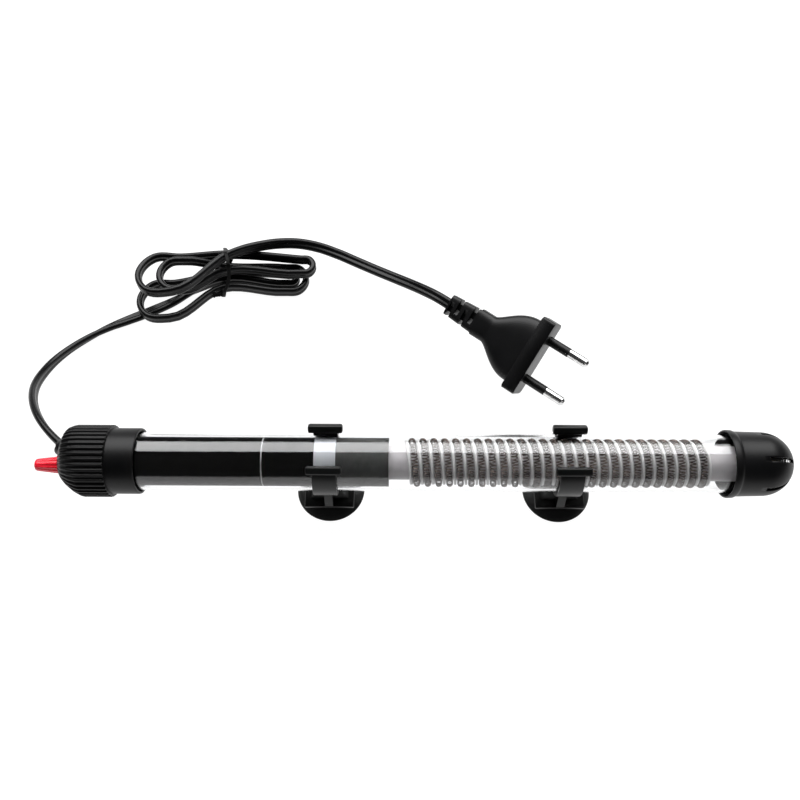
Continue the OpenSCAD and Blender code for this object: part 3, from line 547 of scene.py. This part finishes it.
def build_guard(mats, s):
    """Domed cap with slots. Columns beside a slot keep half the slot's width
    from its middle plane, so its sides stay parallel; the faces between are
    left out and a solidify gives the wall."""
    f = np.linspace(0, np.pi / 2 * 0.995, 26)
    dome, slot_from = 12.05, 13.35
    wall_x = [0.6, 0.8, 1.2, 2, 2.9, 3.35, 3.7, 4.2, 6, 8.5, 11, slot_from]
    wall_r = [12.45, 12.75, 12.85, 12.85, 12.8, 12.6, 12.35, 12.3, 12.25, 12.18, 12.12, 12.07]
    x = np.concatenate([wall_x, 13.95 + dome * np.sin(f)])
    r = np.concatenate([wall_r, dome * np.cos(f)])
    inside = np.linspace(0, 1, 4)
    outside = np.linspace(0, 1, 14)[1:]
    sector, half_slot, first_slot, slot_to_r = 2 * np.pi / s.slots, 0.85, 106.3, 4.2
    half = np.arcsin(np.clip(half_slot / np.maximum(r, 1e-3), 0, 1))
    half = np.minimum(half, sector * 0.4)[:, None]
    right = np.concatenate([half * inside[None], half + (sector / 2 - half) * outside[None]], 1)
    col = np.concatenate([-right[:, :0:-1], right[:, :-1]], 1)
    turn = math.radians(first_slot)
    a = np.concatenate([col + k * sector + turn for k in range(s.slots)], 1)
    p = turned(GUARD_X + x, r[:, None], a)
    m = col.shape[1]
    j = np.arange(m * s.slots) % m
    mid = m // 2
    in_slot = (j >= mid - 3) & (j < mid + 3)
    row = (x[:-1] >= slot_from) & (r[1:] >= slot_to_r)
    keep = ~(row[:, None] & in_slot[None])
    ob = Shape().grid(p, keep=keep).mesh("guard_shell", mats["black"], 40)
    wall = ob.modifiers.new("wall", "SOLIDIFY")
    wall.thickness, wall.offset = 0.0009, -1
    return add(ob, "heater", "guard_cap", slot="black_plastic")


def build_knob(mats):
    """Tapered knob with flutes that fade at its tip."""
    x = np.concatenate([[0, 0, 0.15, 0.45, 0.9], np.linspace(1.4, 9.8, 14), [10.1, 10.1]])
    r = np.concatenate([[0.01, 1.2, 1.75, 2.15, 2.33], np.linspace(2.4, 3.38, 14), [3.3, 1.6]])
    a = circle(144)
    flutes = 12
    flute = np.clip(0.5 + 0.9 * np.cos(flutes * a), 0, 1)[None]
    depth = np.interp(x, [0, 1.2, 2.2, 10.1], [0, 0, 0.13, 0.2])[:, None]
    p = turned(KNOB_X + x, r[:, None] - depth * flute * (r[:, None] > 2), a, KNOB_Y)
    ob = Shape().grid(p).mesh("knob_grip", mats["red"], 45)
    return add(ob, "knob_set", "knob", slot="red_plastic")


def build_core(mats, s):
    """The former's spiral ridge and the coiled wire that lies between its turns.
    A turn's angle grows as the place along the tube grows by one pitch."""
    pitch, turns, start = 4.1, 27, -3.1
    t = np.linspace(0, turns + 1, (turns + 1) * 48 + 1)
    sec = np.array([[6.5, 0.55], [8.2, 0.48], [8.42, 0.36], [8.5, 0.14],
                    [8.5, -0.14], [8.42, -0.36], [8.2, -0.48], [6.5, -0.55]])
    a = 2 * np.pi * t[:, None]
    x = start + pitch * t[:, None] + sec[None, :, 1]
    r = np.broadcast_to(sec[None, :, 0], x.shape)
    p = np.stack([x, r * np.cos(a), AXIS_Z + r * np.sin(a)], -1)
    ridge = Shape().grid(p, cap=(True, True)).mesh("former_ridge", mats["ridge"], 50)
    add(ridge, "heater", "core_ridge", slot="ceramic")

    middle, coil, wire = 7.95, 1.12, 0.2
    loops = int(turns * 2 * np.pi * middle / s.coil_pitch)
    k = np.linspace(0, 1, loops * 9 + 1)
    a, b = 2 * np.pi * turns * k, 2 * np.pi * loops * k
    r = middle + coil * np.cos(b)
    x = start + pitch / 2 + pitch * turns * k + coil * np.sin(b)
    c = np.stack([x, r * np.cos(a), AXIS_Z + r * np.sin(a)], -1)
    d = unit(np.gradient(c, axis=0))
    out = np.stack([0 * a, np.cos(a), np.sin(a)], -1)
    n1 = unit(np.cross(d, out))
    p = pipe(c, wire, n1, np.cross(n1, d), 4)
    winding = Shape().grid(p, cap=(True, True)).mesh("coiled_wire", mats["wire"], 80)
    add(winding, "heater", "heating_wire", slot="heating_alloy")
    return ridge, winding


def build_cup(mats, name, node, body, x):
    """Suction cup: a thin flared rim, a stepped neck and a button."""
    prof = [(13.4, 0.02), (13.5, 0.35), (13.35, 0.65), (11.2, 1.7), (9.3, 2.6), (7.2, 3.3),
            (5.2, 3.75), (3.6, 4.15), (2.85, 4.5),
            (2.8, 6.25), (3.9, 6.3), (4.0, 6.6), (3.95, 7.2), (3.2, 7.85), (0.05, 7.9)]
    under = [(0.05, 2.0), (4.7, 1.75), (9.5, 0.95), (12.4, 0.02), (13.4, 0.02)]
    pr = np.array(under + prof)
    a = circle(96)
    z = np.broadcast_to(pr[:, 1:], (len(pr), len(a)))
    p = np.stack([x + pr[:, :1] * np.cos(a), pr[:, :1] * np.sin(a), z], -1)
    ob = Shape().grid(p).mesh(name, mats["cup"], 40)
    return add(ob, body, node, slot="cup_rubber")


def build_clip(mats, name, node, body, x):
    """Clip: a C ring with finger bars, a post that flares toward its foot, two
    braces and a square base plate. The CAD's keyhole isn't cut here."""
    shape = Shape()
    a = np.radians(np.linspace(90 + 36, 90 + 324, 73))
    sec = rounded([[11.1, -4.5], [12.6, -4.5], [12.6, 4.5], [11.1, 4.5]], 0.35, 4)
    r, w = sec[None, :, 0], sec[None, :, 1]
    ring_x = x + w + 0 * a[:, None]
    p = np.stack([ring_x, r * np.cos(a)[:, None], AXIS_Z + r * np.sin(a)[:, None]], -1)
    shape.grid(p, cap=(True, True))
    for side in (-1, 1):
        t = math.radians(90 - side * 38)
        mid = np.array([x, 13.9 * math.cos(t), AXIS_Z + 13.9 * math.sin(t)])
        lean = np.array(Matrix.Rotation(t - math.pi / 2, 3, "X"))
        rounded_box(shape, (-6.5, -1.5, -1.5), (6.5, 1.5, 1.5), 0.7, lambda q: q @ lean.T + mid)
    up = [(5.1, 8.2, 6.6), (6.2, 7.5, 6.3), (7.2, 6.6, 5.9), (8.4, 5.8, 5.5), (9.8, 5.3, 5.2),
          (11.4, 4.95, 5.05), (13.4, 4.8, 4.9), (15.6, 4.8, 4.6)]
    rings = []
    for z, hx, hy in up:
        q = rounded([[x - hx, -hy], [x + hx, -hy], [x + hx, hy], [x - hx, hy]], 0.6)
        rings.append(np.column_stack([q, np.full(len(q), z)]))
    shape.grid(np.array(rings), cap=(True, True))
    for side in (-1, 1):
        foot, top = side * 9.6, side * 7.2
        quad = [[foot, 5.2], [foot, 6.9], [top, 16.4], [0, 15.6], [0, 5.2]]
        q = rounded(quad if side > 0 else quad[::-1], 0.25, 3)
        rings = [np.column_stack([np.full(len(q), x + dx), q]) for dx in (-1.6, 1.6)]
        shape.grid(np.array(rings), cap=(True, True))
    rounded_box(shape, (x - 9.7, -9.7, 4.6), (x + 9.7, 9.7, 6.2), 0.35)
    ob = shape.mesh(name, mats["clip"], 40)
    return add(ob, body, node, slot="black_plastic")


# The finish of each CAD piece that stays in sight.
CAD_LOOKS = {
    "glass_tube": "glass", "cap_stopper": "rubber", "knob_bush": "brass",
    "cord_gland": "rubber", "print_sleeve": "sleeve", "rating_label": "label",
    "thermostat_base": "board", "front_disc": "board", "end_disc": "board", "magnet": "steel",
    "fixed_contact": "brass", "indicator_lamp": "lamp", "lamp_resistor": "board",
    "supply_wires": "steel", "core_former": "former", "return_wire": "steel",
    "knob_spindle": "steel", "knob_seal": "rubber", "set_lever": "steel", "lever_pin": "brass",
    "bimetal_strip": "steel", "plug_pins": "chrome", "pin_sleeves": "plug",
}


def build_stage(s):
    """A plain white floor below the cups, one soft panel and the room's light."""
    me = bpy.data.meshes.new("floor")
    e, z = 3.0, -0.0002  # half its side, and a hair below the cups, in metres
    me.from_pydata([(-e, -e, z), (e, -e, z), (e, e, z), (-e, e, z)], [], [(0, 1, 2, 3)])
    floor = bpy.data.objects.new("floor", me)
    bpy.context.scene.collection.objects.link(floor)
    n = Nodes("FloorPaper")
    tone = n.noise(2.0, 2.0)
    grey = n.ramp(tone, [(0.3, (0.13, 0.13, 0.13)), (0.7, (0.15, 0.15, 0.15))])
    n.link(grey, n.b.inputs["Base Color"])
    n.link(n.span(tone, 0.85, 0.95), n.b.inputs["Roughness"])
    n.b.inputs["Emission Color"].default_value = (1, 1, 1, 1)
    n.b.inputs["Emission Strength"].default_value = s.floor_glow
    me.materials.append(n.m)

    def area(name, at, towards, size, power):
        data = bpy.data.lights.new(name, "AREA")
        data.shape, data.size, data.size_y, data.energy = "RECTANGLE", size[0], size[1], power
        ob = bpy.data.objects.new(name, data)
        ob.location = at
        ob.rotation_euler = (Vector(towards) - Vector(at)).to_track_quat("-Z", "Y").to_euler()
        bpy.context.scene.collection.objects.link(ob)

    area("back_panel", PANEL_AT, PANEL_TOWARDS, PANEL_SIZE, s.back_power)
    world = bpy.data.worlds.new("room")
    bpy.context.scene.world = world
    world.use_nodes = True
    world.node_tree.nodes["Background"].inputs[0].default_value = (1, 1, 1, 1)
    world.node_tree.nodes["Background"].inputs[1].default_value = s.room
    bpy.context.scene.view_settings.view_transform = "Standard"


def build_camera(s):
    """The photo's view: 60.7 degrees down, with the lens fitted to the scene."""
    data = bpy.data.cameras.new("camera")
    data.lens, data.sensor_width, data.clip_start = s.lens, 36.0, 0.01
    cam = bpy.data.objects.new("camera", data)
    down, roll = math.radians(90 - CAMERA_DOWN), math.radians(CAMERA_ROLL)
    turn = Matrix.Rotation(down, 4, "X") @ Matrix.Rotation(roll, 4, "Z")
    m = Matrix.Translation(CAMERA_AT) @ turn
    cam.matrix_world = m
    bpy.context.scene.collection.objects.link(cam)
    bpy.context.scene.camera = cam


# ----------------------------------------------------------------- interface
class HeaterSettings(bpy.types.PropertyGroup):
    lens: FloatProperty(name="Lens", default=37.35, min=20, max=100,
        description="Focal length in mm")
    cord_steps: IntProperty(name="Cord steps", default=7, min=3, max=12,
        description="Rings between two stations")
    ribs: IntProperty(name="Ribs", default=40, min=24, max=44,
        description="Grip ribs on the head")
    slots: IntProperty(name="Slots", default=6, min=4, max=8,
        description="Water slots in the guard")
    coil_pitch: FloatProperty(name="Coil pitch", default=1.2, min=0.5, max=1.5,
        description="Pitch of the coiled wire in mm")
    floor_glow: FloatProperty(name="Floor glow", default=0.99, min=0, max=2,
        description="Light that the floor gives itself")
    back_power: FloatProperty(name="Back panel", default=22.0, min=0, max=200,
        description="Power of the overhead panel in W")
    room: FloatProperty(name="Room", default=0.05, min=0, max=2,
        description="Strength of the room's even light")


KEEP = {}


def finishes():
    """The finishes, made once for all operators."""
    if "looks" not in KEEP:
        KEEP["looks"] = make_materials()
    return KEEP["looks"]


class HEATER_OT_cord(bpy.types.Operator):
    """Build the lead, its tie, the plug and the strain relief"""
    bl_idname = "heater.cord"
    bl_label = "Cord and plug"

    def execute(self, context):
        mats, s = finishes(), context.scene.heater
        cord, path = build_cord(mats, s)
        tie = build_tie(mats)
        plug, relief = build_plug(mats)
        return {"FINISHED"}


class HEATER_OT_head(bpy.types.Operator):
    """Build the ribbed head and the red knob"""
    bl_idname = "heater.head"
    bl_label = "Head and knob"

    def execute(self, context):
        mats = finishes()
        build_head(mats, context.scene.heater)
        build_knob(mats)
        return {"FINISHED"}


class HEATER_OT_guard(bpy.types.Operator):
    """Build the slotted guard"""
    bl_idname = "heater.guard"
    bl_label = "Guard"

    def execute(self, context):
        build_guard(finishes(), context.scene.heater)
        return {"FINISHED"}


class HEATER_OT_core(bpy.types.Operator):
    """Build the former's ridge and the coiled wire"""
    bl_idname = "heater.core"
    bl_label = "Heating core"

    def execute(self, context):
        build_core(finishes(), context.scene.heater)
        return {"FINISHED"}


class HEATER_OT_clips(bpy.types.Operator):
    """Build both clips and both suction cups"""
    bl_idname = "heater.clips"
    bl_label = "Clips and cups"

    def execute(self, context):
        mats = finishes()
        for body, (node, x) in CLIPS.items():
            build_clip(mats, node + "_shell", node, body, x)
            cup = node.replace("clip", "suction_cup")
            build_cup(mats, cup + "_rubber", cup, body.replace("clip", "cup"), x)
        return {"FINISHED"}


class HEATER_OT_finish_cad(bpy.types.Operator):
    """Give the CAD pieces that stay in sight their finishes"""
    bl_idname = "heater.finish_cad"
    bl_label = "CAD finishes"

    def execute(self, context):
        mats = finishes()
        for node, look in CAD_LOOKS.items():
            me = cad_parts[node].data
            me.materials.clear()
            me.materials.append(mats[look])
        return {"FINISHED"}


class HEATER_OT_stage(bpy.types.Operator):
    """Set up the camera, the floor and the lights"""
    bl_idname = "heater.stage"
    bl_label = "Stage"

    def execute(self, context):
        build_camera(context.scene.heater)
        build_stage(context.scene.heater)
        return {"FINISHED"}


STEPS = [HEATER_OT_stage, HEATER_OT_cord, HEATER_OT_head, HEATER_OT_guard, HEATER_OT_core,
         HEATER_OT_clips, HEATER_OT_finish_cad]


class HEATER_PT_panel(bpy.types.Panel):
    bl_label = "Heater"
    bl_space_type = "VIEW_3D"
    bl_region_type = "UI"
    bl_category = "Heater"

    def draw(self, context):
        for step in STEPS:
            self.layout.operator(step.bl_idname)
        for name in HeaterSettings.__annotations__:
            self.layout.prop(context.scene.heater, name)


CLASSES = [HeaterSettings, *STEPS, HEATER_PT_panel]


def register():
    for c in CLASSES:
        bpy.utils.register_class(c)
    bpy.types.Scene.heater = PointerProperty(type=HeaterSettings)


def unregister():
    del bpy.types.Scene.heater
    for c in reversed(CLASSES):
        bpy.utils.unregister_class(c)


def main():
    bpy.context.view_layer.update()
    register()
    bpy.ops.heater.stage()
    bpy.ops.heater.cord()
    bpy.ops.heater.head()
    bpy.ops.heater.guard()
    bpy.ops.heater.core()
    bpy.ops.heater.clips()
    bpy.ops.heater.finish_cad()


if __name__ == "__main__":
    main()
